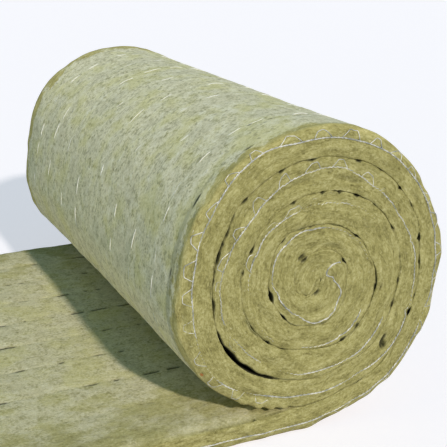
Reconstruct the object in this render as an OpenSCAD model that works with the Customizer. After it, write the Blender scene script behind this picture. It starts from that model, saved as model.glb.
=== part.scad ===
// Stone wool blanket with wire netting, wound into a roll with its outer end laid out flat.
// X runs along the laid-out tail, Y along the roll's axis and Z up. The origin is on the floor,
// at the middle of the whole length and width.
// The winding is a chain of half turns: those below the axis share one centre, and those above
// it share another, half a winding pitch to the side, so each carries on from the last one
// without a step.

/* [Blanket] */
// Width of the blanket, along the roll's axis
blanket_w = 1000; // [600:10:1200]
// Thickness of the blanket
blanket_t = 50; // [40:1:80]
// Length that lies unrolled on the floor
tail_l = 950; // [300:10:2000]
// Rounding of the two outer edges, where the netting is drawn over them
edge_r = 16; // [6:1:24]

/* [Winding] */
// Half turns wound inside the outermost quarter turn
half_turns = 9; // [4:1:14]
// Slack between one turn and the next
turn_gap = 1.5; // [0.8:0.1:4]

/* [Stitching] */
// Lengthwise rows of stitching
stitch_rows = 8; // [2:1:10]
// Spacing of the rows across the blanket
stitch_pitch = 108; // [40:1:130]
// Width of the channel that a row of stitches draws into the face
channel_w = 9; // [4:0.5:16]
// Depth of that channel
channel_d = 3; // [1:0.5:8]

/* [Edge wire] */
// Diameter of the netting's twisted edge wire
wire_d = 2.4; // [1.6:0.1:4]
// Distance from the end of the edge rounding to the middle of the wire
wire_inset = 5; // [3:0.5:10]
// Room between the wire and the groove that it presses into the wool
wire_clear = 0.3; // [0.2:0.05:0.6]

/* [Hidden] */
$fn = 180;
front = 1;
back = -1;
pitch = blanket_t + turn_gap;
axis_z = blanket_t + half_turns * pitch / 2;
middle_shift = (tail_l - axis_z) / 2;

// Radius of the netting face on half turn k, counted from the core outwards
function face_r(k) = blanket_t + k * pitch / 2;

// Whether half turn k lies below the roll's axis, as the outermost one does
function is_below(k) = (half_turns - k) % 2 == 0;

// Cross-section of the edge wire, or of its groove when room is given
module wire_section(side, room) {
    translate([-edge_r - wire_inset, side * blanket_w / 2])
        circle(d = wire_d + 2 * room, $fn = 8);
}

// Cross-section of the blanket: netting face at x = 0, inner face at x = -blanket_t
module blanket_section() {
    difference() {
        union() {
            translate([-blanket_t, -blanket_w / 2])
                square([blanket_t - edge_r, blanket_w]);
            translate([-blanket_t, edge_r - blanket_w / 2])
                square([blanket_t, blanket_w - 2 * edge_r]);
            for (side = [front, back])
                translate([-edge_r, side * (blanket_w / 2 - edge_r)])
                    circle(r = edge_r);
        }
        for (side = [front, back])
            wire_section(side, wire_clear);
    }
}

// Carries a section around half turn k, from angle start through angle sweep.
// In the core the section reaches past the centre, so it is cut off there.
module turn(k, start, sweep) {
    translate([is_below(k) ? 0 : pitch / 2, 0, axis_z])
        rotate([90, 0, 0])
            rotate_extrude(angle = sweep, start = start)
                intersection() {
                    translate([face_r(k), 0])
                        children();
                    translate([0, -blanket_w])
                        square([2 * face_r(k), 2 * blanket_w]);
                }
}

// Carries a section along the tail, round the outermost quarter turn and in to half turn first
module along_blanket(first) {
    translate([middle_shift, 0, 0]) {
        rotate([0, 90, 180])
            linear_extrude(tail_l)
                children();
        turn(half_turns, 270, 90)
            children();
        for (k = [first : half_turns - 1])
            turn(k, is_below(k) ? 180 : 0, 180)
                children();
    }
}

// Channels that the rows of stitches draw into the upper face of the tail
module stitch_channels() {
    for (row = [0 : stitch_rows - 1])
        translate([middle_shift, (row - (stitch_rows - 1) / 2) * stitch_pitch, blanket_t])
            rotate([0, -90, 0])
                linear_extrude(tail_l)
                    polygon([[-channel_d, 0], [0, channel_w / 2], [channel_d, 0], [0, -channel_w / 2]]);
}

// The blanket starts half a turn inside the core with a rounded nose that fills its eye
module wool_blanket() {
    color("darkkhaki")
        difference() {
            along_blanket(-1)
                blanket_section();
            stitch_channels();
        }
}

module edge_wire(side) {
    color("silver")
        along_blanket(0)
            wire_section(side, 0);
}

module edge_wire_front() {
    edge_wire(front);
}

module edge_wire_back() {
    edge_wire(back);
}

wool_blanket();
edge_wire_front();
edge_wire_back();
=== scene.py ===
import math
from functools import partial

import bmesh
import bpy
import numpy as np
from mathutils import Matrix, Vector


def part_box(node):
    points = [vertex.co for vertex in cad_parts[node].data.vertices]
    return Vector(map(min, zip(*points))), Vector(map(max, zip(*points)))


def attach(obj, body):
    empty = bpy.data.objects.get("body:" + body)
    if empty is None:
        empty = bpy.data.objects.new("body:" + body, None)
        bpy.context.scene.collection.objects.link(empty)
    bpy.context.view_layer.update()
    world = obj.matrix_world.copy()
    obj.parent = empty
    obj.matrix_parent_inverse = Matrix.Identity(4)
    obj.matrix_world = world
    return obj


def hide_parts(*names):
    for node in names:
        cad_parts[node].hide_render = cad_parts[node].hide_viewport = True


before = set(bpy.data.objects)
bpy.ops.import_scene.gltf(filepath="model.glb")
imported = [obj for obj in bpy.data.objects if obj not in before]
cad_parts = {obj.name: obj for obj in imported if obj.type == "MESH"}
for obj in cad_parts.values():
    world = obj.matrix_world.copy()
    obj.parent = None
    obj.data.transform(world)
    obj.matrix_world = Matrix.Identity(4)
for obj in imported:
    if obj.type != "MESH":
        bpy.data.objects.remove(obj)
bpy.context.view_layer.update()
print("frame loaded:", ", ".join(sorted(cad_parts)))


def addObject(name, data):
    # new object at the origin, in the scene's collection
    thing = bpy.data.objects.new(name, data)
    bpy.context.collection.objects.link(thing)
    return thing


# Camera: the place, turn and lens of the photograph, fitted to the winding and the tail's edges
cameraSetup = {
    "place": (-0.4156, -1.7747, 0.8738),
    "yaw": 0.4377,  # radians to the right of +Y
    "pitch": 0.3219,  # radians below the horizon
    "focalPixels": 958.8,
    "imagePixels": 447,
    "sensor": 36.0,
}
cameraData = bpy.data.cameras.new("camera")
cameraData.sensor_width = cameraSetup["sensor"]
cameraData.lens = cameraSetup["focalPixels"] / cameraSetup["imagePixels"] * cameraSetup["sensor"]
camera = addObject("camera", cameraData)
camera.location = cameraSetup["place"]
camera.rotation_euler = (math.pi / 2 - cameraSetup["pitch"], 0, -cameraSetup["yaw"])
bpy.context.scene.camera = camera
print("camera placed, lens", round(cameraData.lens, 1), "mm")

# Blanket: sizes in metres, as in the CAD model
blanket = {
    "thickness": 0.050,
    "turnGap": 0.0015,
    "halfTurns": 9,
    "edgeRound": 0.016,  # outer edges, under the netting
    "innerRound": 0.0010,  # inner edges, as cut
    "squareFrom": 0.17,  # share of a corner's length at which it turns where pressed square
    "faceShare": 0.9,  # share of that length that still faces outwards
    "farPower": 0.6,  # superellipse of the outer edges at the far end, where 1 is a circle
    "stitchRows": 8,
    "stitchPitch": 0.108,
    "wireInset": 0.005,  # edge wire, past the end of the rounding
}
thickness, edgeRound, innerRound = blanket["thickness"], blanket["edgeRound"], blanket["innerRound"]
squareFrom, rowSpace, rowCount = blanket["squareFrom"], blanket["stitchPitch"], blanket["stitchRows"]
woolLow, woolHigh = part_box("wool_blanket")
pitch = thickness + blanket["turnGap"]
axisZ = (woolHigh[2] + pitch / 2) / 2
tangentX = woolHigh[0] - axisZ  # where the tail leaves the roll
tailLength = tangentX - woolLow[0]
halfWidth = (woolHigh[1] - woolLow[1]) / 2
fullTurn = 2 * np.pi
front, back = -1.0, 1.0

# Lengths along the mid-thickness at which each half turn starts, and the angle wound by then
halfTurns = np.arange(blanket["halfTurns"] + 1)
midRadii = axisZ - thickness / 2 - halfTurns * pitch / 2
turnBreaks = np.concatenate([[0], np.pi / 2 + np.pi * halfTurns])
lengthBreaks = tailLength + np.concatenate([[0], np.cumsum(midRadii * np.diff(turnBreaks))])
woundEnd = lengthBreaks[-1]
noseRadius = thickness - pitch / 2

# Lengths along the section: outer face, rounded edge, cut end, inner edge, inner face
outerHalf = halfWidth - edgeRound
edgeArc = edgeRound * np.pi / 2
cutFlat = thickness - edgeRound - innerRound
innerArc = innerRound * np.pi / 2
cutEnd = edgeArc + cutFlat + innerArc
wireEdge = edgeArc + blanket["wireInset"]


def smooth(low, high, value):
    # cubic step from 0 at low to 1 at high
    t = np.clip((value - low) / (high - low), 0, 1)
    return t * t * (3 - 2 * t)


def feltNoise(a, b, seed):
    # value noise from -1 to 1: random numbers on a square lattice, faded smoothly between its corners
    size = 256
    table = np.random.default_rng(seed).random((size, size)) * 2 - 1
    a, b = np.broadcast_arrays(np.asarray(a, float), np.asarray(b, float))
    cellA, cellB = np.floor(a).astype(int), np.floor(b).astype(int)
    fadeA, fadeB = smooth(0, 1, a - cellA), smooth(0, 1, b - cellB)
    lowA, highA = cellA % size, (cellA + 1) % size
    lowB, highB = cellB % size, (cellB + 1) % size
    bottom = table[lowA, lowB] * (1 - fadeA) + table[highA, lowB] * fadeA
    top = table[lowA, highB] * (1 - fadeA) + table[highA, highB] * fadeA
    return bottom * (1 - fadeB) + top * fadeB


def alongKnots(turn, knots):
    # smooth curve in metres through pairs of wound degrees and mm, level at each pair
    degrees, millimetres = np.array(knots, float).T
    angle = np.degrees(turn)
    k = np.clip(np.searchsorted(degrees, angle) - 1, 0, len(degrees) - 2)
    share = smooth(0, 1, (angle - degrees[k]) / (degrees[k + 1] - degrees[k]))
    return (millimetres[k] * (1 - share) + millimetres[k + 1] * share) / 1000


def turnAtLength(s):
    # radians wound at a length along the blanket
    return np.interp(s, lengthBreaks, turnBreaks)


def lengthAtTurn(degrees):
    # length along the blanket at a wound angle
    return np.interp(np.radians(degrees), turnBreaks, lengthBreaks)


# Slack of the winding: wound angle in degrees, and shift of the netting face towards the core in mm.
# The outer turn sags at its lower left, and the turns inside it bulge to the lower right
turnShift = [
    (230, 0), (258, 4), (285, -5), (312, -8), (335, -5), (352, 0), (380, 0), (405, -8), (425, 2), (455, 6),
    (485, 1), (520, -1), (563, -6), (585, -6), (600, 3), (635, 7), (660, 3), (700, 3), (735, -2), (766, -13),
    (795, -6), (830, -2), (885, 3), (922, 2), (962, 6), (1030, 8), (1070, 6), (1119, -14), (1155, -11),
    (1190, 5), (1225, 9), (1272, 6), (1303, -6), (1345, 5), (1385, 9), (1430, 0), (1475, -12), (1530, 0),
]
# How far the netting draws in the outer turn at each end, and how deep the front edge wire lies
frontPress = [(0, 0), (15, 5), (40, -3), (60, 2), (90, 3), (118, 10), (140, 4), (168, -2), (200, 0)]
backPress = [(150, 0), (190, -5), (225, -4), (242, 1), (256, 7), (270, 10), (286, 4), (300, -2), (325, 0)]
frontWire = [
    (0, 19), (15, 22), (30, 18), (47, 15), (70, 20), (115, 26), (150, 20), (190, 15), (206, 6), (216, 7.5),
    (235, 15), (265, 20), (287, 15), (310, 8), (345, 21), (362, 21), (385, 13), (408, -1), (425, 5),
    (450, 20), (485, 30), (505, 27), (535, 12), (550, 13), (590, 22), (650, 20), (690, 21), (720, 10),
    (760, -1), (812, 9), (850, 15), (905, 22), (950, 19), (1010, 21), (1060, 14), (1120, -8), (1170, 8),
    (1240, 17), (1312, 3), (1385, 23), (1415, 18), (1470, -11), (1500, 0), (1530, 30),
]
# How far the front edge wire and the netting's last half cells stand out of the wool, in mm
wireShow = [
    (0, 0.6), (120, 0.6), (165, 0.9), (255, 0.9), (275, 0.0), (325, 0.0), (345, 0.6), (390, 0.8), (412, 0.8),
    (425, 0.0), (450, -0.1), (495, 0.0), (510, 0.8), (600, 0.8), (615, -0.3), (700, -0.5), (718, 0.7),
    (768, 0.8), (785, -1.4), (870, -1.1), (890, 0.4), (985, 0.3), (1000, -1.3), (1065, -1.1), (1080, 0.7),
    (1125, 0.8), (1150, -1.4), (1250, -1.1), (1265, 0.5), (1320, 0.5), (1345, -0.6), (1385, 0.4), (1530, 0.6),
]
archShow = [
    (0, -0.6), (50, -0.2), (70, 0.4), (112, 0.4), (125, -0.4), (150, 0.4), (250, 0.5), (275, -0.4),
    (335, -0.5), (350, -0.8), (395, -1.5), (495, -1.2), (512, -0.1), (605, 0.2), (630, -0.9), (700, -0.9),
    (725, -1.8), (880, -1.8), (925, -0.7), (965, -0.7), (1000, -1.8), (1800, -1.8),
]
# Openings between turns on the front end: wound angle in degrees, half length and width in mm
turnOpenings = [
    (655, 14, 4), (667, 22, 8.5), (682, 24, 8.5), (696, 18, 5),  # the long black gap
    (560, 60, 1), (590, 60, 1.2), (612, 50, 1.4), (634, 50, 1.6), (450, 6, 1.5), (433, 6, 2),
    (546, 12, 1.8), (584, 8, 3.5), (563, 6, 5), (576, 9, 2), (522, 5, 3.5), (508, 6, 2.5),
    (493, 5, 3.5), (482, 7, 3), (462, 12, 7.5), (426, 7, 5), (782, 8, 5), (788, 6, 4),
    (801, 6, 3), (815, 6, 2), (837, 6, 2.5), (859, 5, 4), (875, 6, 2.5), (889, 8, 4),
    (901, 5, 3), (922, 6, 4), (942, 6, 3.5), (962, 10, 2.5), (976, 7, 2), (1023, 6, 4),
    (1043, 6, 4.5), (1060, 6, 2), (1112, 6, 3.5), (1127, 6, 4.5), (1158, 8, 3), (1215, 14, 2.5),
    (1272, 5, 4), (1303, 5, 4), (1346, 6, 3.5), (1363, 11, 8), (1402, 8, 3.5), (1559, 6, 5),
    (1662, 6, 5),
]
opening = {
    "farTurn": np.radians(143),  # the far end has the same openings, wound on by this much
    "depth": 0.055,  # how far in from the end an opening closes up
    "innerGives": 0.7,  # share of an opening by which the turn inside it gives way
    "ragged": (0.72, 0.9, 26),  # mean and swing of the width as a factor, and waves per radian
    "limits": (0.1, 1.4),
    "calm": (0.9, np.radians(677), 0.45),  # steadier factor at the long gap, its place and its reach
    # the next two set where openings and holes get their full painted shade
    "fullShadeWidth": 0.0025, "fullShadeHole": 0.004,  # width of an opening and depth of a hole that look dark
}
# Holes and lumps in the front end: wound angle, depth under the netting face, half length, half width
# and height, the last four in mm
endMarks = [
    (407, 22, 5, 8, -12), (410, 30, 9, 4, -9), (426, 12, 5, 16, -3), (790, 18, 16, 11, 5),
    (1480, 46, 6, 5, -7), (1300, 46, 9, 4, -7), (555, 30, 40, 5, -3), (520, 33, 22, 4, -4),
    (212, 34, 30, 5, -3), (120, 38, 26, 5, -3), (330, 30, 30, 6, 3), (600, 38, 30, 6, 3),
    (700, 36, 24, 8, 3), (1100, 22, 16, 9, 4), (1240, 30, 18, 8, 4), (1420, 34, 14, 9, 5),
    (1560, 24, 12, 8, 4), (796, 38, 9, 3, -6), (1221, 10, 8, 4, -4), (330, 4, 9, 5, 7),
    (338, 3, 8, 5, 10), (344, 3, 6, 4, 10), (350, 4, 7, 5, 9),
]
# Relief of the wool, with lengths in metres
relief = {
    "waist": 0.0024, "waistTurns": (0.7, 1.4, 5.2, 6.0),  # sets in and ends at these radians
    "turnClose": 0.0014, "endDome": 0.0004,
    "endStep": 0.0022, "stepsPerRadian": 1.1,
    "edgePull": 0.0030, "pullLength": 0.024, "farPull": 0.4,  # drawn in by the netting, less at the far end
    "stitchChannel": 0.0006, "channelReach": 0.005,
    "stitchSlit": 0.0020, "slitReach": 0.0030, "slitLevels": (0.06, 0.36),
    "tailRound": 0.0070, "roundReach": 0.012,  # how the tail's upper edges settle
    "pressDepth": 0.075,  # how far in from the end the netting draws in the edge
    "axisClear": 0.0006,
}
# Noises in the wool: height, size along the blanket and size across it in metres, and seed
woolNoises = {
    "skin": [(0.0012, 0.22, 0.25, 21), (0.0010, 0.055, 0.06, 22), (0.0008, 0.015, 0.018, 23)],
    "tail": [(0.0012, 0.24, 0.2, 32), (0.0010, 0.05, 0.06, 33), (0.0008, 0.015, 0.018, 34)],
    "clump": [(0.0022, 0.030, 0.014, 42)],
    "layer": [(0.0013, 0.040, 0.0055, 43)],
    "turn": [(0.0012, 1 / 2.6, 1 / 5, 11), (0.0009, 1 / 8.5, 1 / 14, 12)],  # between turns, along in radians
    "slit": [(0.6, 0.015, 1 / 7.3, 31), (0.5, 0.09, 1 / 5.7, 35)],  # share of a slit, across by stitch row
}


def feltSum(name, along, across, shift=0.0):
    # sum of the noises of one name, each at its own size
    return sum(height * feltNoise(along / length, across / width + shift, seed)
               for height, length, width, seed in woolNoises[name])


def squareShare(turn):
    # outer corners are pressed square where another turn lies on them
    return smooth(fullTurn - 0.6, fullTurn + 0.1, turn)


def buriedShare(turn):
    # 1 on the netting face where another turn lies on it
    return smooth(fullTurn - 0.3, fullTurn + 0.1, turn)


def tailShare(s):
    # 1 on the tail, up to where the roll lies on it
    return 1 - smooth(tailLength - 0.12, tailLength - 0.01, s)


def sectionAt(e, square=0.0, power=1.0):
    # point of the blanket's section at length e past the outer face: depth under the netting face and
    # distance in from the end plane, with an outer corner between a superellipse and a square one, and
    # the outward normal there
    outerAngle = np.clip(e, 0, edgeArc) / edgeRound
    innerAngle = np.clip(e - edgeArc - cutFlat, 0, innerArc) / innerRound
    cosine, sine = np.clip(np.cos(outerAngle), 0, 1), np.sin(outerAngle)
    share = np.clip(e, 0, edgeArc) / edgeArc
    squareDepth = np.clip((share - squareFrom) / (1 - squareFrom), 0, 1)
    squareInset = np.clip(1 - share / squareFrom, 0, 1)
    cornerDepth = (1 - cosine ** power) * (1 - square) + squareDepth * square
    cornerInset = (1 - sine ** power) * (1 - square) + squareInset * square
    depth = edgeRound * cornerDepth + np.clip(e - edgeArc, 0, cutFlat)
    depth = depth + innerRound * np.sin(innerAngle)
    inset = edgeRound * cornerInset + np.maximum(-e, 0)
    inset = inset + innerRound * (1 - np.cos(innerAngle)) + np.maximum(e - cutEnd, 0)
    onFace = share < squareFrom * blanket["faceShare"]
    faceward = cosine * (1 - square) + onFace * square
    endward = sine * (1 - square) + ~onFace * square
    return depth, inset, np.sin(innerAngle) - faceward, -endward * np.cos(innerAngle)


def windingAt(s):
    # netting face at length s: a straight tail, then half circles about two centres in turn, each
    # half a pitch smaller than the last, and a straight nose in the eye of the winding
    turn = turnAtLength(s)
    half = np.clip(np.floor(turn / np.pi + 0.5), 0, blanket["halfTurns"])
    radius = axisZ - half * pitch / 2
    beyond = np.maximum(s - woundEnd, 0)
    straight = np.minimum(s - tailLength, 0) + beyond
    outX, outZ = np.sin(turn), -np.cos(turn)
    x = tangentX + (half % 2) * pitch / 2 + radius * outX + straight * np.cos(turn)
    z = axisZ + radius * outZ + straight * np.sin(turn)
    shrink = np.sqrt(1 - np.minimum(beyond / noseRadius, 0.99) ** 2)
    return x, z, outX, outZ, turn, radius, shrink


def turnOpening(turn, inset, side):
    # width of the gaps torn open between turns: a bell along the winding for each opening, made ragged
    # by a noise along it
    total = np.zeros(np.broadcast(turn, inset).shape)
    shifted = turn - np.where(side > 0, opening["farTurn"], 0)
    mean, swing, waves = opening["ragged"]
    ragged = np.clip(mean + swing * feltNoise(shifted * waves, 3.3, 15), *opening["limits"])
    calm, calmTurn, calmReach = opening["calm"]
    ragged = ragged + (calm - ragged) * np.exp(-(((shifted - calmTurn) / calmReach) ** 2))
    for degrees, halfLength, wide in turnOpenings:
        radius = axisZ - pitch * degrees / 360
        bell = (shifted - np.radians(degrees)) * radius / (halfLength / 1000)
        total = total + wide / 1000 * np.exp(-(bell ** 2))
    return total * ragged * np.exp(-inset / opening["depth"])


def faceShift(turn, inset, side):
    # shift towards the core of the netting face at a wound angle, shared by the face that lies on it:
    # the slack, waves between turns, a waist at mid-width and what the netting draws in at the ends
    across = side * (halfWidth - inset)
    wave = feltSum("turn", turn, across)
    setsIn, full, ending, ended = relief["waistTurns"]
    onRoll = smooth(setsIn, full, turn) * (1 - smooth(ending, ended, turn))
    waist = relief["waist"] * (1 - (across / halfWidth) ** 2) * onRoll
    press = np.where(side < 0, alongKnots(turn, frontPress), alongKnots(turn, backPress))
    press = press * np.exp(-((inset / relief["pressDepth"]) ** 2))
    return alongKnots(turn, turnShift) + wave * buriedShare(turn) + waist + press


def turnClosing(turn, inset, side):
    # how much of the slack between turns is taken up: patchy, and all of it in the core
    across = side * (halfWidth - inset)
    patchy = np.clip(0.85 + 0.6 * feltNoise(turn * 5.5, across * 20, 13), 0, 1)
    core = smooth(np.radians(1330), np.radians(1400), turn)
    covered = smooth(fullTurn - 0.1, fullTurn + 0.2, turn)
    return relief["turnClose"] * (patchy + (1 - patchy) * core) * covered


def stitchRowOffset(across):
    # distance to the nearest row of stitches, large outside the sewn width
    sewn = np.abs(across) < rowSpace * rowCount / 2
    return np.where(sewn, np.abs(across / rowSpace - np.floor(across / rowSpace) - 0.5) * rowSpace, 1.0)


def stitchSlit(s, across):
    # broken slits that the stitches pull into the tail's upper face: 1 along the bottom of each
    row = np.floor(across / rowSpace)
    slitHere = feltSum("slit", s, row)
    inSlit = np.exp(-((stitchRowOffset(across) / relief["slitReach"]) ** 2))
    return smooth(*relief["slitLevels"], slitHere) * inSlit * tailShare(s)


def endMarkHeight(turn, depth, side):
    # bell-shaped holes and lumps in the front end
    total = np.zeros(np.broadcast(turn, depth).shape)
    for degrees, markDepth, halfLength, halfWide, height in endMarks:
        radius = axisZ - pitch * degrees / 360 - markDepth / 1000
        along = (turn - np.radians(degrees)) * radius / (halfLength / 1000)
        over = (depth - markDepth / 1000) / (halfWide / 1000)
        total = total + height / 1000 * np.exp(-(along ** 2) - over ** 2)
    return total * (side < 0)


def paintedShadeInHollows(s, e, side):
    # 1 where the wool lies deep, for painted shade: slits of the tail, walls of the openings between turns,
    # holes in the end
    turn = turnAtLength(s)
    depth, inset = sectionAt(e, squareShare(turn))[:2]
    slit = stitchSlit(s, side * (halfWidth - inset)) * (e > cutEnd)
    outerWall, innerWall = [np.clip(turnOpening(angle, 0.0, side) / opening["fullShadeWidth"], 0, 1)
                            for angle in (turn, turn + fullTurn)]
    outerWall = outerWall * (e < edgeArc * squareFrom)
    innerWall = innerWall * (e > cutEnd - innerArc / 4) * (1 - tailShare(s))
    hole = np.clip(-endMarkHeight(turn, depth, side) / opening["fullShadeHole"] - 0.5, 0, 1)
    hole = hole * (e > 0) * (e < cutEnd)
    return np.maximum(np.maximum(slit, outerWall), np.maximum(innerWall, hole))


def woolOffset(s, e, side, turn, depth, inset):
    # how far the wool stands out from its section: noise of a few sizes on the outer face, the tail's
    # upper face with its stitch rows, and the cut ends with their layers, clumps, holes and lumps
    across = side * (halfWidth - inset)
    square = squareShare(turn)
    onRound = 1 - smooth(-0.002, edgeArc * 0.8, e)
    onSquare = e < edgeArc * squareFrom * blanket["faceShare"]
    onOuter = onRound * (1 - square) + onSquare * square
    onInner = smooth(cutEnd - innerArc * 0.6 - 0.003 * tailShare(s), cutEnd, e)
    onEnd = np.clip(1 - onOuter - onInner, 0, 1)
    lifted = smooth(tailLength, tailLength + 0.20, s)  # flat where it lies on the floor
    bare = 1 - buriedShare(turn)
    outer = feltSum("skin", s, across) * lifted * bare

    channel = np.exp(-((stitchRowOffset(across) / relief["channelReach"]) ** 2))
    top = feltSum("tail", s, across) - relief["stitchChannel"] * channel
    inner = top * tailShare(s) - relief["stitchSlit"] * stitchSlit(s, across)

    farRow = 50 * side  # another part of the noise at each end
    place = turn + (s - tailLength) / axisZ * (turn <= 0) + 40 * (side > 0)
    end = relief["endStep"] * feltNoise(place * relief["stepsPerRadian"], 0.5, 41)
    end = end + feltSum("clump", s, e, farRow)
    layered = 1 - 0.75 * smooth(np.radians(1230), np.radians(1400), turn)  # clumps, not rings, in the core
    end = end + layered * feltSum("layer", s, e, farRow)
    end = end + relief["endDome"] * np.sin(np.pi * np.clip((e - edgeArc) / cutFlat, 0, 1))
    end = end + endMarkHeight(turn, depth, side)
    pulled = smooth(-0.014, 0.004, e) * (1 - smooth(edgeArc - 0.002, edgeArc + 0.010, e))
    pull = relief["edgePull"] * pulled * feltNoise(s / relief["pullLength"], 0.5 + side, 44) * bare
    pull = pull * np.where(side > 0, relief["farPull"], 1.0)
    return outer * onOuter + inner * onInner + end * onEnd - pull * lifted


def woolPoint(s, e, side, lift=0.0):
    # point of the wool's surface: the section at e carried to s on the winding, with its two faces
    # shifted by the slack and the openings, and raised by the relief and lift along its normal
    s, e, side, lift = np.broadcast_arrays(s, e, side, lift)
    x, z, outX, outZ, turn, radius, shrink = windingAt(s)
    power = np.where(side > 0, blanket["farPower"], 1.0)
    depth, inset, normalDepth, normalInset = sectionAt(e, squareShare(turn), power)
    innerTurn, given = turn + fullTurn, opening["innerGives"]
    outerMove = faceShift(turn, inset, side) + given * turnOpening(turn, inset, side)
    outerMove = outerMove - turnClosing(turn, inset, side)
    innerMove = faceShift(innerTurn, inset, side) - (1 - given) * turnOpening(innerTurn, inset, side)
    share = np.clip(depth / thickness, 0, 1)
    offset = woolOffset(s, e, side, turn, depth, inset) + lift
    settled = relief["tailRound"] * np.exp(-((inset / relief["roundReach"]) ** 2)) * smooth(0.4, 1, share)
    depth = depth + outerMove * (1 - share) - settled * tailShare(s)
    depth = depth + innerMove * (1 - tailShare(s)) * share + normalDepth * offset
    inset = inset + normalInset * offset
    middle = thickness / 2
    depth = np.minimum(middle + (depth - middle) * shrink, radius - relief["axisClear"])
    return np.stack([x - outX * depth, side * (halfWidth - inset), z - outZ * depth], axis=-1)


def lengthAtDepth(depth):
    # length along a section with square corners at a depth under the netting face
    cornerShare = np.clip(depth / edgeRound, 0, 1)
    onCorner = edgeArc * (squareFrom + (1 - squareFrom) * cornerShare)
    return onCorner + np.maximum(depth - edgeRound, 0)


def linear(hexColour):
    # sRGB hex to linear red, green, blue and alpha
    channels = [int(hexColour[i:i + 2], 16) / 255 for i in (1, 3, 5)]
    return tuple(c / 12.92 if c <= 0.04045 else ((c + 0.055) / 1.055) ** 2.4 for c in channels) + (1.0,)


def addNode(tree, kind, inputs={}, stops=(), output=0, **settings):
    # adds a shader node with its settings and colour stops, links the inputs that are given a socket,
    # sets the others and gives back one output
    node = tree.nodes.new("ShaderNode" + kind)
    for name, value in settings.items():
        setattr(node, name, value)
    for name, value in inputs.items():
        if isinstance(value, bpy.types.NodeSocket):
            tree.links.new(value, node.inputs[name])
        else:
            node.inputs[name].default_value = value
    for i, (position, colour) in enumerate(stops):
        elements = node.color_ramp.elements
        element = elements[i] if i < len(elements) else elements.new(position)
        element.position, element.color = position, linear(colour)
    return node.outputs[output] if node.outputs else None


def newMaterial(name):
    # an empty material, and addNode for its tree
    material = bpy.data.materials.new(name)
    material.use_nodes = True
    material.node_tree.nodes.clear()
    return material, partial(addNode, material.node_tree)


# Stone wool: felted mineral fibre, matt and streaky along the blanket, golden olive where it is cut,
# and paler, greyer green on its two faces, with flecks, dark pits, yellower and greyer patches and a
# lobed line where the pale skin gives way to the cut wool, and painted shade in its slits, openings and
# holes. Sizes are in metres, and drawn coarser than real fibre so that they show
woolFinish = {
    "cut": ("#645f37", "#98935f", "#bdb886"),  # dark, middle and pale wool of the cut ends
    "rim": ("#8a8150", "#c2b87a", "#e4dba4"),  # along the outer edges
    "face": ("#9a9770", "#e5e0c2", "#fbf8e6"),  # skin of the two faces
    "cutTones": (0.34, 0.5, 0.66), "faceTones": (0.36, 0.5, 0.64),
    # the darkest colour is painted shade for slits, openings and holes
    "yellow": "#d9d48c", "grey": "#d2cdb6", "pitted": "#7a7650", "paintedHollowShade": "#24261a",
    "darkFibre": "#5c583a", "paleFibre": "#efecd2",
    "bump": {"Strength": 0.85, "Distance": 0.0028},
    "surface": {"Roughness": 0.95, "Specular IOR Level": 0.12},
}
# Noises that are even in space: size and detail
evenGrain = {
    "grain": (0.0050, 3.0), "patch": (0.070, 2.0), "blotch": (0.018, 2.0),
    "pit": (0.012, 1.0), "ragged": (0.012, 2.0),
}
# Noises that follow the blanket: size along and across, detail and distortion
streakGrain = {
    "fibre": (0.018, 0.0090, 2.0, 1.6), "cutStreak": (0.010, 0.0028, 3.0, 1.4),
    "layer": (0.036, 0.014, 2.0, 0.7), "faceStreak": (0.0075, 0.0050, 3.0, 1.2),
    "lobe": (0.050, 0.060, 1.0, 0.7),
}
grainRoughness = 0.6
# Tones that mix two noises by a share
woolTones = [
    ("cut", 0.40, "cutStreak", "grain"), ("cut", 0.34, "cut", "layer"),
    ("face", 0.55, "faceStreak", "grain"), ("face", 0.32, "face", "blotch"), ("height", 0.5, "cut", "face"),
]
# Amounts: what they are read from, its lowest and highest value, and the amount there
woolAmounts = {
    "lobeShift": ("lobe", 0.3, 0.7, -0.013, 0.013),
    "raggedShift": ("ragged", 0.3, 0.7, -0.008, 0.008),
    "goldShift": ("patch", 0.35, 0.65, 0.08, -0.08),
    "outerSkin": ("edge + lobeShift + raggedShift", -0.023, -0.008, 1.0, 0.0),
    "tailSkin": ("edge + goldShift", cutEnd - 0.08, cutEnd + 0.20, 0.15, 0.62),
    "onTail": ("edge", cutEnd - 0.002, cutEnd + 0.012, 0.0, 1.0),
    "nearRim": ("edge", 0.003, 0.020, 0.85, 0.0),
    "yellow": ("patch", 0.46, 0.66, 0.0, 0.42),
    "grey": ("patch", 0.34, 0.50, 0.35, 0.0),
    "pitted": ("pit", 0.26, 0.40, 0.45, 0.0),
    "darkFibre": ("grain", 0.42, 0.56, 0.0, 0.35),
    "paleFibre": ("grain", 0.42, 0.56, 0.0, 0.15),
    # painted shade in slits, openings and holes
    "paintedHollowShade": ("hollow", 0.0, 1.0, 0.0, 0.9),
}
# Fibres: thin curls where a noise passes through one level, with its half width
fibreLevels = {"darkFibre": (0.46, 0.012), "paleFibre": (0.56, 0.010)}
# Marks on the wool: wound degrees, length past the outer face, half length and half width in metres,
# colour and strength. The rust spot is a stain; the slits and pits are painted shade of small holes that
# are not modelled, and the shaded fold is painted shade
woolMarks = {
    "rust spot": (305, 0.012, 0.0035, 0.0035, "#a8562a", 0.7),
    # painted shade from here on: a slit, a fold and pits that are not modelled
    "painted shade of a slit": (233.4, -0.0265, 0.014, 0.0036, "#2c3226", 0.95),
    "shaded fold": (264, -0.030, 0.180, 0.011, "#70776a", 0.38),
    "painted shade of the lower pit": (262, -0.033, 0.010, 0.0034, "#3a4038", 0.7),
    "painted shade of the front pit": (207.6, -0.019, 0.006, 0.0030, "#2c3226", 0.8),
    "painted shade of the top pit": (188.5, -0.096, 0.009, 0.0024, "#3c4232", 0.7),
    "painted shade of the top slit": (196.7, -0.106, 0.005, 0.0024, "#3c4232", 0.6),
}
markFade = (0.5, 1.1)  # shares of its half size between which a mark fades out


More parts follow.
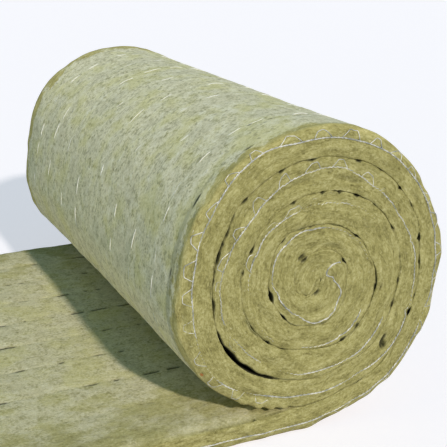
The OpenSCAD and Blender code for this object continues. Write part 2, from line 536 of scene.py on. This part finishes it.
def makeWoolMaterial():
    material, add = newMaterial("stoneWool")
    smoothly, asColour = {"interpolation_type": "SMOOTHSTEP"}, {"data_type": "RGBA", "output": 2}
    # noises, tones and amounts
    uv = add("UVMap", uv_map="woolMap")
    where = add("TexCoord", output="Object")
    level = {name: add("Attribute", attribute_name=name, output="Fac") for name in ("edge", "hollow")}
    for name, (size, detail) in evenGrain.items():
        level[name] = add("TexNoise", {
            "Vector": where, "Scale": 1 / size, "Detail": detail, "Roughness": grainRoughness})
    for name, (along, across, detail, twisted) in streakGrain.items():
        stretched = add("Mapping", {"Vector": uv, "Scale": (1 / along, 1 / across, 1)})
        level[name] = add("TexNoise", {"Vector": stretched, "Scale": 1.0, "Detail": detail,
            "Roughness": grainRoughness, "Distortion": twisted})
    for name, share, first, second in woolTones:
        level[name] = add("Mix", {0: share, 2: level[first], 3: level[second]})
    ramps = {}
    for name, tone in (("cut", "cut"), ("rim", "cut"), ("face", "face")):
        stops = zip(woolFinish[tone + "Tones"], woolFinish[name])
        ramps[name] = add("ValToRGB", {"Fac": level[tone]}, stops)
    for name, (sources, *limits) in woolAmounts.items():
        first, *others = sources.split(" + ")
        total = level[first]
        for other in others:
            total = add("Math", {0: total, 1: level[other]}, operation="ADD")
        level[name] = add("MapRange", dict(enumerate([total, *limits])), **smoothly)

    # skin of the faces over the cut wool
    faceColour = ramps["face"]
    for name in ("yellow", "grey", "pitted"):
        faceColour = add("Mix", {0: level[name], 6: faceColour, 7: linear(woolFinish[name])}, **asColour)
    cutColour = add("Mix", {0: level["nearRim"], 6: ramps["cut"], 7: ramps["rim"]}, **asColour)
    tailSkin = add("Math", {0: level["tailSkin"], 1: level["onTail"]}, operation="MULTIPLY")
    skin = add("Math", {0: level["outerSkin"], 1: tailSkin}, operation="ADD")
    colour = add("Mix", {0: skin, 6: cutColour, 7: faceColour}, **asColour)

    # fibres, marks and painted shade in hollows over both
    tints = []
    for name, (middle, wide) in fibreLevels.items():
        line = add("Math", {0: level["fibre"], 1: middle, 2: wide}, operation="COMPARE")
        broken = add("Math", {0: line, 1: level[name]}, operation="MULTIPLY")
        tints.append((woolFinish[name], broken))
    for degrees, past, halfLong, halfWide, markColour, strength in woolMarks.values():
        offset = add("VectorMath", {0: uv, 1: (lengthAtTurn(degrees), past, 0)}, operation="SUBTRACT")
        scaled = add("VectorMath", {0: offset, 1: (halfLong, halfWide, 1)}, operation="DIVIDE")
        away = add("VectorMath", {0: scaled}, operation="LENGTH", output="Value")
        fade = add("MapRange", dict(enumerate([away, *markFade, strength, 0.0])), **smoothly)
        tints.append((markColour, fade))
    # painted shade in slits, openings and holes
    tints.append((woolFinish["paintedHollowShade"], level["paintedHollowShade"]))
    for tint, amount in tints:
        colour = add("Mix", {0: amount, 6: colour, 7: linear(tint)}, **asColour)

    bump = add("Bump", {"Height": level["height"], **woolFinish["bump"]})
    shader = add("BsdfPrincipled", {"Base Color": colour, "Normal": bump, **woolFinish["surface"]})
    add("OutputMaterial", {"Surface": shader})
    return material


# Galvanised steel wire: dull zinc, pale grey with soft reflections and slightly darker patches;
# the stitches are finer drawn and read paler against the wool
wireFinishes = {
    "galvanisedWire": (("#979b96", "#d2d3cd"), {"Metallic": 0.7, "Roughness": 0.58}),  # dull and pale
    "stitchingWire": (("#d8dad6", "#f2f3f2"), {"Metallic": 0.1, "Roughness": 0.6}),
}
wirePatch = {"size": 0.012, "detail": 2.0, "tones": (0.35, 0.62)}


def makeWireMaterial(name):
    colours, surface = wireFinishes[name]
    material, add = newMaterial(name)
    where = add("TexCoord", output="Object")
    patch = add("TexNoise", {"Vector": where, "Scale": 1 / wirePatch["size"], "Detail": wirePatch["detail"]})
    colour = add("ValToRGB", {"Fac": patch}, zip(wirePatch["tones"], colours))
    shader = add("BsdfPrincipled", {"Base Color": colour, **surface})
    add("OutputMaterial", {"Surface": shader})
    return material


woolMaterial = makeWoolMaterial()
wireMaterial = makeWireMaterial("galvanisedWire")
stitchMaterial = makeWireMaterial("stitchingWire")
print("materials made")

# Wool mesh: spacing of its rows along the blanket, and its columns on the faces and across the ends
woolMesh = {
    "tailStep": 0.0050, "outerStep": 0.0045, "innerStep": 0.0046, "noseRows": 7, "noseReach": 0.985,
    "pastTail": 0.03, "pastTurn": 0.15,  # metres and radians by which the finer rows run on
    "columns": 35, "coarsen": 5, "columnGrowth": 1.35,
    "cornerShares": (0, 0.12, 0.168, 0.33, 0.5, 0.67, 0.83, 1), "flatColumns": 9, "innerColumns": 3,
    "edgeInsets": (0.008, 0.014, 0.024, 0.040, 0.062, 0.088, 0.104), "middleGap": 0.027,
    "besideRows": (-0.009, -0.003, 0, 0.003, 0.009), "betweenRows": (1 / 3, 2 / 3),
    "weld": 0.00001,
}
# Map of the wool: stretches of their own for the far end and the caps, and where the skin stops
woolMap = {
    "farShift": 2.0, "capShift": 6, "farSkin": 0.005, "farReach": 0.02, "cutFrom": 0.022, "cutTo": 0.004,
}


def quadFaces(index):
    # four corners of each cell of a grid of vertex numbers
    return np.stack([index[:-1, :-1], index[1:, :-1], index[1:, 1:], index[:-1, 1:]], axis=-1).reshape(-1, 4)


def makeWoolBlanket():
    # a section carried along the winding: every point is woolPoint(s, e) on a grid of lengths s along
    # the blanket and e around its section, with fine columns only on the faces that can be seen
    tailStop = tailLength + woolMesh["pastTail"]
    outerStop = np.interp(fullTurn + woolMesh["pastTurn"], turnBreaks, lengthBreaks)
    spans = [(0, tailStop, woolMesh["tailStep"]), (tailStop, outerStop, woolMesh["outerStep"]),
             (outerStop, woundEnd, woolMesh["innerStep"])]
    rows = [np.linspace(a, b, int(round((b - a) / step)), endpoint=False) for a, b, step in spans]
    noseTurn = np.linspace(0, np.pi / 2, woolMesh["noseRows"])
    nose = woundEnd + noseRadius * woolMesh["noseReach"] * np.sin(noseTurn)
    s = np.concatenate(rows + [nose])
    tailRows, outerRows = len(rows[0]), len(rows[0]) + len(rows[1])

    outerFine = -outerHalf * np.linspace(1, 0, woolMesh["columns"] + 1) ** woolMesh["columnGrowth"]
    cornerRows = edgeArc * np.array(woolMesh["cornerShares"])
    flatRows = np.linspace(edgeArc, edgeArc + cutFlat, woolMesh["flatColumns"])
    innerRows = np.linspace(edgeArc + cutFlat, cutEnd, woolMesh["innerColumns"])
    endRows = np.concatenate([cornerRows, flatRows[1:], innerRows[1:]])
    rowPlaces = rowSpace * (np.arange(rowCount // 2) + 0.5)
    rowInsets = np.sort(halfWidth - rowPlaces)
    nearEdge = [innerRound, *woolMesh["edgeInsets"]]
    aroundRows = (rowInsets[:, None] + np.array(woolMesh["besideRows"])).ravel()
    betweenRows = (rowInsets[:-1, None] + rowSpace * np.array(woolMesh["betweenRows"])).ravel()
    nearMiddle = [halfWidth - woolMesh["middleGap"], halfWidth]
    insets = np.sort(np.concatenate([nearEdge, aroundRows, betweenRows, nearMiddle]))
    innerFine = cutEnd + insets - innerRound

    step = woolMesh["coarsen"]
    outerCoarse, innerCoarse = outerFine[::step], innerFine[::step]
    points, faces, maps, edges, hollowShades = [], [], [], [], []

    def addPoints(grid, sMap, eMap, edge, hollow=0.0):
        # adds a grid of points and gives back their numbers
        used, shape = sum(map(len, points)), grid.shape[:-1]
        points.append(grid.reshape(-1, 3))
        maps.append(np.stack(np.broadcast_arrays(sMap, eMap), axis=-1).reshape(-1, 2))
        for layer, values in ((edges, edge), (hollowShades, hollow)):
            layer.append(np.broadcast_to(values, shape).ravel())
        return used + np.arange(len(points[-1])).reshape(shape)

    def addWool(sGrid, eGrid, side):
        # points of the wool at these lengths, with the place of their skin's edge and their painted shade
        far = side > 0
        buried = smooth(fullTurn - 0.3, fullTurn, turnAtLength(sGrid))
        edge = eGrid + woolMap["farSkin"] * far * (eGrid < woolMap["farReach"])
        edge = edge + (np.clip(edge, woolMap["cutFrom"], cutEnd - woolMap["cutTo"]) - edge) * buried
        eMap = eGrid + woolMap["farShift"] * far
        return addPoints(woolPoint(sGrid, eGrid, side), sGrid, eMap, edge, paintedShadeInHollows(sGrid, eGrid, side))

    def addPanel(sRows, eColumns, side):
        # four-sided faces between rows and columns
        sGrid, eGrid = np.meshgrid(sRows, eColumns, indexing="ij")
        faces.extend(quadFaces(addWool(sGrid, eGrid, side)).tolist())

    def addBridge(sCoarse, sFine, eFine, side):
        # many-sided faces between a row of coarse columns and the next row of fine ones
        coarse = addWool(sCoarse, eFine[::step], side)
        fine = addWool(sFine, eFine, side)
        picks = np.arange(step, -1, -1) + step * np.arange(len(coarse) - 1)[:, None]
        faces.extend(np.concatenate([coarse[:-1, None], coarse[1:, None], fine[picks]], axis=1).tolist())

    def addCap(row, side):
        # end of the blanket: straight lines from the netting face to the inner face
        outer = woolPoint(row, outerCoarse[::-1], side)
        inner = woolPoint(row, innerCoarse, side)
        depthShare = sectionAt(endRows)[0] / thickness
        grid = outer + (inner - outer) * depthShare[:, None, None]
        grid[:, 0] = woolPoint(row, endRows, side)
        sMap = sectionAt(innerCoarse)[1] + woolMap["capShift"]
        eMap = depthShare[:, None] * thickness + woolMap["farShift"] * (side > 0)
        faces.extend(quadFaces(addPoints(grid, sMap, eMap, edgeArc)).tolist())

    for side in (front, back):
        addPanel(s, endRows, side)
        addPanel(s[:tailRows], outerCoarse, side)
        addBridge(s[tailRows - 1], s[tailRows], outerFine, side)
        addPanel(s[tailRows:outerRows], outerFine, side)
        addBridge(s[outerRows], s[outerRows - 1], outerFine, side)
        addPanel(s[outerRows:], outerCoarse, side)
        addPanel(s[1:tailRows], innerFine, side)
        addBridge(s[0], s[1], innerFine, side)
        addBridge(s[tailRows], s[tailRows - 1], innerFine, side)
        addPanel(s[tailRows:], innerCoarse, side)
        addCap(s[0], side)
        addCap(s[-1], side)

    mesh = bpy.data.meshes.new("woolBlanket")
    mesh.from_pydata(np.concatenate(points), [], faces)
    mapLayer = mesh.uv_layers.new(name="woolMap")
    corners = np.empty(len(mesh.loops), dtype=np.int32)
    mesh.loops.foreach_get("vertex_index", corners)
    mapLayer.data.foreach_set("uv", np.concatenate(maps)[corners].astype(np.float32).ravel())
    for name, values in (("edge", edges), ("hollow", hollowShades)):
        layer = mesh.attributes.new(name, "FLOAT", "POINT")
        layer.data.foreach_set("value", np.concatenate(values).astype(np.float32))
    return mesh


def placeMesh(mesh, material, weld=0.000001):
    # joins the doubles, turns the faces outwards and shades them smooth
    work = bmesh.new()
    work.from_mesh(mesh)
    bmesh.ops.remove_doubles(work, verts=work.verts, dist=weld)
    bmesh.ops.recalc_face_normals(work, faces=work.faces)
    openEdges = sum(1 for edge in work.edges if not edge.is_manifold)
    work.to_mesh(mesh)
    work.free()
    mesh.polygons.foreach_set("use_smooth", np.ones(len(mesh.polygons), dtype=bool))
    mesh.materials.append(material)
    piece = addObject(mesh.name, mesh)
    triangles = len(mesh.loops) - 2 * len(mesh.polygons)
    print(mesh.name, "made,", triangles, "triangles,", openEdges, "open edges")
    return piece


woolBlanket = placeMesh(makeWoolBlanket(), woolMaterial, woolMesh["weld"])
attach(woolBlanket, "root")
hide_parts("wool_blanket")


def unit(vectors):
    # vectors over their lengths
    return vectors / np.linalg.norm(vectors, axis=-1, keepdims=True)


def tubeBundle(paths, normals, radius, sides):
    # a ring of a few sides carried along each path of the bundle, with closed ends
    tangent = unit(np.gradient(paths, axis=1))
    sideways = unit(np.cross(tangent, normals))
    upward = np.cross(sideways, tangent)
    angles = np.arange(sides) * fullTurn / sides
    ring = np.cos(angles)[:, None] * upward[:, :, None] + np.sin(angles)[:, None] * sideways[:, :, None]
    points = paths[:, :, None] + radius * ring
    index = np.arange(points[..., 0].size).reshape(points.shape[:3])
    nextSide = np.roll(index, -1, axis=2)
    walls = np.stack([index[:, :-1], nextSide[:, :-1], nextSide[:, 1:], index[:, 1:]], axis=-1)
    return points.reshape(-1, 3), [walls.reshape(-1, 4), index[:, 0, ::-1], index[:, -1]]


def surfaceTubes(s, e, side, lift, radius, sides, coil=0.0, phase=0.0):
    # tubes that follow the wool at the given lengths, raised by lift and coiled about that line
    step = 0.001
    paths = woolPoint(s, e, side, lift)
    normals = (woolPoint(s, e, side, lift + step) - paths) / step
    aside = unit(np.cross(np.gradient(paths, axis=1), normals))
    coil, phase = [np.broadcast_to(line, s.shape)[..., None] for line in (coil, phase)]
    paths = paths + coil * (np.cos(phase) * aside + np.sin(phase) * normals)
    return tubeBundle(paths, normals, radius, sides)


def joinTubes(name, bundles):
    # one mesh of all the bundles
    points, faces, used = [], [], 0
    for bundlePoints, faceBlocks in bundles:
        points.append(bundlePoints)
        for block in faceBlocks:
            faces.extend((block + used).tolist())
        used += len(bundlePoints)
    mesh = bpy.data.meshes.new(name)
    mesh.from_pydata(np.concatenate(points), [], faces)
    return mesh


def drawEach(ranges, seed, shape):
    # even random numbers between the ends of each range in turn
    random = np.random.default_rng(seed)
    return [random.uniform(low, high, shape) for low, high in ranges]


def rideWire(piece):
    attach(piece, "root")


# Edge wires: two strands twisted together along each end, half sunk in the wool; the front one curls
# into the core, where a last bit of it shows again
edgeWire = {
    "strand": 0.00072, "twist": 0.014, "step": 0.0021, "start": 0.004, "sides": 4,
    "sink": 0.0012, "sinkLength": 0.05,  # where the wool hides it
    "wander": 0.0012, "wanderLength": 0.07, "farWander": 3,  # strays this far, more at the far end
    "depths": (0.004, 0.036), "slackInset": 0.01,  # least and most depth, and where the slack is read
    "frontStop": 1526,  # degrees wound
    "hookTurns": (1526, 1540, 1560, 1576, 1586, 1581, 1571, 1564),  # degrees, then depths in mm
    "hookDepths": (26, 35, 39, 37, 31, 21, 13, 6), "hookPoints": 36,
}


def wireLength(s, side):
    # length along the section of the edge wire: at its own depth in front, evenly deep at the far end
    turn = turnAtLength(s)
    wander = edgeWire["wander"] * feltNoise(s / edgeWire["wanderLength"], 4.4 + side, 61)
    even = edgeRound + blanket["wireInset"] + edgeWire["farWander"] * wander
    drawn = alongKnots(turn, frontWire) - faceShift(turn, edgeWire["slackInset"], side) + wander
    depth = np.clip(np.where(side > 0, even, drawn), *edgeWire["depths"])
    cornerShare = np.clip(depth / edgeRound, 0, 1)
    onRound = np.arccos((1 - cornerShare) ** np.where(side > 0, 1 / blanket["farPower"], 1.0))
    onRound = edgeRound * onRound + np.maximum(depth - edgeRound, 0)
    return onRound + (lengthAtDepth(depth) - onRound) * squareShare(turn)


def twistedPair(s, e, side):
    # two helices about the line s, e on the wool, which hides them here and there
    phase = np.array([0, np.pi])[:, None] + fullTurn * s / edgeWire["twist"]
    hidden = smooth(0.2, 0.6, feltNoise(s / edgeWire["sinkLength"], 2.2 + side, 63))
    lift = alongKnots(turnAtLength(s), wireShow) - edgeWire["sink"] * hidden
    s, e, lift = [np.broadcast_to(line, phase.shape) for line in (s, e, lift)]
    return surfaceTubes(s, e, side, lift, edgeWire["strand"], edgeWire["sides"], edgeWire["strand"], phase)


def makeEdgeWire(name, side):
    # a twisted pair along the winding, and in front one more along the hook
    stop = lengthAtTurn(edgeWire["frontStop"]) if side < 0 else woundEnd
    s = np.arange(edgeWire["start"], stop, edgeWire["step"])
    bundles = [twistedPair(s, wireLength(s, side), side)]
    if side < 0:
        knots = np.arange(len(edgeWire["hookTurns"]))
        along = np.linspace(0, knots[-1], edgeWire["hookPoints"])
        hook = lengthAtTurn(np.interp(along, knots, edgeWire["hookTurns"]))
        depth = np.interp(along, knots, edgeWire["hookDepths"]) / 1000
        bundles.append(twistedPair(hook, lengthAtDepth(depth), side))
    return joinTubes(name, bundles)


for side, name, node in (
    (front, "edgeWireFront", "edge_wire_front"),
    (back, "edgeWireBack", "edge_wire_back"),
):
    piece = placeMesh(makeEdgeWire(name, side), wireMaterial)
    rideWire(piece)
    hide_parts(node)

# Netting: hexagonal mesh of twisted wire that lies on the outer face and folds over both edges; its
# last half cells arch from the edge wires, and the rest is mostly sunk in the wool
netting = {
    "cell": 0.032, "period": 0.050, "twist": 0.013, "wire": 0.00048, "coil": 0.0005, "sides": 4,
    "sunk": -0.0015, "heave": 0.0011,
    "floorSink": -0.0012, "floorPast": 0.06,  # kept sunk under the tail and this far past it
    "tailMargin": 0.01,  # drawn up this far from the tail's end
    "drawnOver": 0.06,  # width over which it follows the edge wire
    "pastTurn": 0.05,  # radians by which it runs on under the next turn
    "archWire": 0.0008, "archPoints": 13, "archBend": 0.002,
    # least and most of each half cell's width, height, lean, steepness and scatter
    "archRanges": ((0.021, 0.036), (0.01015, 0.01595), (-0.007, 0.007), (2.6, 4.0), (-0.006, 0.006)),
}
period = netting["period"]
netSpread = 2 * (wireEdge + outerHalf)
netLines = int(round(netSpread / (netting["cell"] / 2)))


def nettingWires(firstPeriod, lastPeriod):
    # each wire swings between two lines half a cell apart: a straight twist of one turn with its
    # neighbour on one line, a slanted run across, a twist on the other line and a run back
    half = period / 2
    inTwist = np.linspace(-0.5, 0.5, 5) * netting["twist"]
    along = np.concatenate([inTwist, [half / 2], half + inTwist, [half * 1.5]])
    counts = (5, 1, 5, 1)  # points in a twist and in a run
    swing, coilSign = np.repeat([0, 0.5, 1, 0.5], counts), np.repeat([1, 0, -1, 0], counts)
    coilAngle = np.tile([*np.linspace(0, fullTurn, 5), 0], 2)
    wires = np.arange(1, netLines - 1)[:, None, None]
    s = period * (np.arange(firstPeriod, lastPeriod)[:, None] + 0.5 * (wires % 2)) + along
    across = (wires + swing) * (netSpread / netLines)
    s, across, coil, phase = [
        line.reshape(len(wires), -1)
        for line in np.broadcast_arrays(s, across, coilSign * netting["coil"], coilAngle)
    ]
    margin = netting["tailMargin"]
    s = np.where(s < margin, margin * np.exp(np.minimum(s, margin) / margin - 1), s)
    side = np.where(across < netSpread / 2, front, back)
    fromWire = np.minimum(across, netSpread - across)
    drawn = (wireLength(s, side) - wireEdge) * (1 - smooth(0, netting["drawnOver"], fromWire))
    e = wireEdge - fromWire + drawn
    lift = netting["sunk"] + netting["heave"] * feltNoise(s / 0.06, across / 0.05, 71)
    onFloor = (e < 0) & (s < tailLength + netting["floorPast"])
    lift = np.where(onFloor, np.minimum(lift, netting["floorSink"]), lift)
    return surfaceTubes(s, e, side, lift, netting["wire"], netting["sides"], coil, phase)


def nettingArches(side, seed):
    # half cells along an edge wire: each is a half hexagon that rises from it towards the outer face,
    # runs level and comes back
    middles = np.arange(period / 2, lengthAtTurn(edgeWire["frontStop"]) - period, period)[:, None]
    base, height, lean, steep, scatter = drawEach(netting["archRanges"], seed, middles.shape)
    share = np.linspace(0, 1, netting["archPoints"])
    hump = np.clip(steep * np.minimum(share, 1 - share), 0, 1)
    s = middles + scatter + base * (share - 0.5) + lean * hump
    e = wireLength(s, side) - (height + netting["archBend"] * feltNoise(s / 0.012, side, 75)) * hump
    shown = alongKnots(turnAtLength(s), archShow)
    lift = shown + 0.5 * netting["heave"] * feltNoise(s / 0.06, side + e / 0.05, 72)
    return surfaceTubes(s, e, side, lift, netting["archWire"], netting["sides"])


outerFaceEnd = np.interp(fullTurn + netting["pastTurn"], turnBreaks, lengthBreaks)
tailPeriods = int(tailLength / period)
rollPeriods = int(outerFaceEnd / period) + 1
for name, bundles in (
    ("nettingTail", [nettingWires(0, tailPeriods)]),
    ("nettingRoll", [nettingWires(tailPeriods, rollPeriods)]),
    ("nettingArches", [nettingArches(front, 73), nettingArches(back, 74)]),
):
    rideWire(placeMesh(joinTubes(name, bundles), wireMaterial))

# Stitches: lengthwise rows of wire that show as pale dashes and dip back into the wool
stitches = {
    "period": 0.056, "dash": 0.046, "wire": 0.00062, "dip": 0.0026, "sides": 5, "points": 9,
    # least and most of each stitch's scatter along, share of a dash, lean, scatter across and height
    "ranges": ((-0.012, 0.012), (0.6, 1.1), (-0.003, 0.003), (-0.006, 0.006), (-0.0010, 0.0010)),
}


def stitchDashes(firstLength, lastLength, onInner, rise, seed):
    # one short tube per stitch, bowed so that its ends go into the wool
    starts = np.arange(firstLength, lastLength - stitches["dash"], stitches["period"])
    rows = (np.arange(rowCount) - (rowCount - 1) / 2) * rowSpace
    starts, rows = [grid.reshape(-1, 1) for grid in np.meshgrid(starts, rows)]
    scatter, length, lean, aside, height = drawEach(stitches["ranges"], seed, starts.shape)
    share = np.linspace(0, 1, stitches["points"])
    s = starts + scatter + stitches["dash"] * length * share
    across = rows + aside + lean * (share - 0.5) * 2
    side = np.where(across < 0, front, back)
    inset = halfWidth - np.abs(across)
    e = cutEnd + inset - innerRound if onInner else edgeRound - inset
    lift = height + rise - stitches["dip"] * (2 * share - 1) ** 4
    return surfaceTubes(s, e, side, lift, stitches["wire"], stitches["sides"])


# the roll's outer face, the tail's underside and the tail's upper face
stitchBundles = [
    stitchDashes(tailLength + 0.06, outerFaceEnd, False, -0.0002, 81),
    stitchDashes(0.02, tailLength, False, -0.0022, 82),
    stitchDashes(0.02, tailLength - 0.10, True, -0.0042, 83),
]
rideWire(placeMesh(joinTubes("stitchWire", stitchBundles), stitchMaterial))

# Floor: plain and pale; light: one sun from the front, as the roll's shadow shows, a soft low lamp from
# the side of the tail, and a pale sky. To the camera and in reflections the floor and the sky are a
# little brighter, for a near white background
studio = {
    "floorColour": "#c8c6cc", "floorSize": 40.0, "floorGlow": 0.92,
    "floorSurface": {"Roughness": 0.9, "Specular IOR Level": 0.1},
    "sun": {"energy": 3.2, "angle": math.radians(3.0), "color": linear("#fff5e8")[:3]},
    "sideLight": {"energy": 21.0, "size": 0.7, "color": linear("#fff4d8")[:3]},
    "sunFrom": (0.03, -0.85, 0.53), "sideFrom": (-4.0, 0.6, 0.36),
    "sky": {"Color": linear("#b4f2ff"), "Strength": 0.26},
    "seenSky": {"Color": linear("#f2f5fa"), "Strength": 0.95},
}


def seenRays(add):
    # 1 for rays from the camera and in reflections, 0 for rays that carry light
    seen = add("LightPath", output="Is Camera Ray")
    rays = seen.node.outputs
    for name in ("Is Glossy Ray", "Is Transmission Ray"):
        seen = add("Math", {0: seen, 1: rays[name]}, operation="MAXIMUM")
    return seen


reach = studio["floorSize"] / 2
floorCorners = [(-reach, -reach, 0), (reach, -reach, 0), (reach, reach, 0), (-reach, reach, 0)]
floorMesh = bpy.data.meshes.new("floor")
floorMesh.from_pydata(floorCorners, [], [(0, 1, 2, 3)])
floor = addObject("floor", floorMesh)
floorMaterial, addToFloor = newMaterial("paleFloor")
floorColour = linear(studio["floorColour"])
glow = addToFloor("Math", {0: seenRays(addToFloor), 1: studio["floorGlow"]}, operation="MULTIPLY")
floorShader = addToFloor("BsdfPrincipled", {"Base Color": floorColour, "Emission Color": floorColour,
    "Emission Strength": glow, **studio["floorSurface"]})
addToFloor("OutputMaterial", {"Surface": floorShader})
floorMesh.materials.append(floorMaterial)

for name, kind, place, target in (
    ("sun", "SUN", studio["sunFrom"], (0, 0, 0)),
    ("sideLight", "AREA", studio["sideFrom"], (tangentX, 0, axisZ)),
):
    light = bpy.data.lights.new(name, kind)
    for setting, value in studio[name].items():
        setattr(light, setting, value)
    lamp = addObject(name, light)
    lamp.location = place
    towards = Vector(target) - lamp.location
    lamp.rotation_euler = towards.to_track_quat("-Z", "Y").to_euler()

world = bpy.data.worlds.new("paleSky")
world.use_nodes = True
world.node_tree.nodes.clear()
addToSky = partial(addNode, world.node_tree)
sky, seenSky = [addToSky("Background", studio[name]) for name in ("sky", "seenSky")]
bothSkies = addToSky("MixShader", {0: seenRays(addToSky), 1: sky, 2: seenSky})
addToSky("OutputWorld", {"Surface": bothSkies})
bpy.context.scene.world = world
bpy.context.scene.view_settings.view_transform = "Standard"
print("floor and light set")
